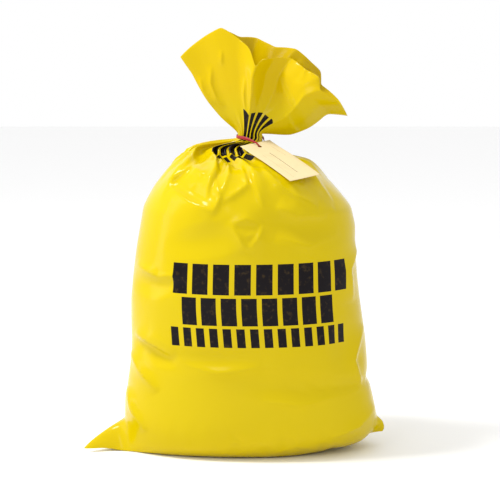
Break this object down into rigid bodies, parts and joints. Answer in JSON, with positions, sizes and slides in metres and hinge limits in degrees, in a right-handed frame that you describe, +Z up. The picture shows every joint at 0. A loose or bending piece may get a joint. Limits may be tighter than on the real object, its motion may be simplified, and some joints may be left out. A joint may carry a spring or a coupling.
{
  "type": "biohazard waste bag",
  "caption": "Filled plastic clinical waste bag standing upright, neck closed by a wire tie that carries a card tag, film flared open above the tie.",
  "frame": {"origin": "on the floor, in the middle of the flat patch that the bag stands on, below its tied neck", "axes": "+Z up; the printed front faces -Y; +X to the right of someone who looks at the front"},
  "size_m": [0.475, 0.274, 0.6569],
  "materials": {
    "film": "glossy thin polyethylene film, creased",
    "coated_wire": "red plastic coating on a soft wire",
    "card": "smooth buff tag card"
  },
  "bodies": {
    "filled_bag": {"bag": "film", "tie": "coated_wire"},
    "hanging_tag": {"tag": "card"}
  },
  "joints": [
    {"name": "tag_swing", "type": "hinge", "parent": "filled_bag", "child": "hanging_tag", "pos_m": [0.015, -0.032, 0.477], "axis": [-0.7585, -0.6438, -0.1011], "range_deg": [0, 35]}
  ]
}
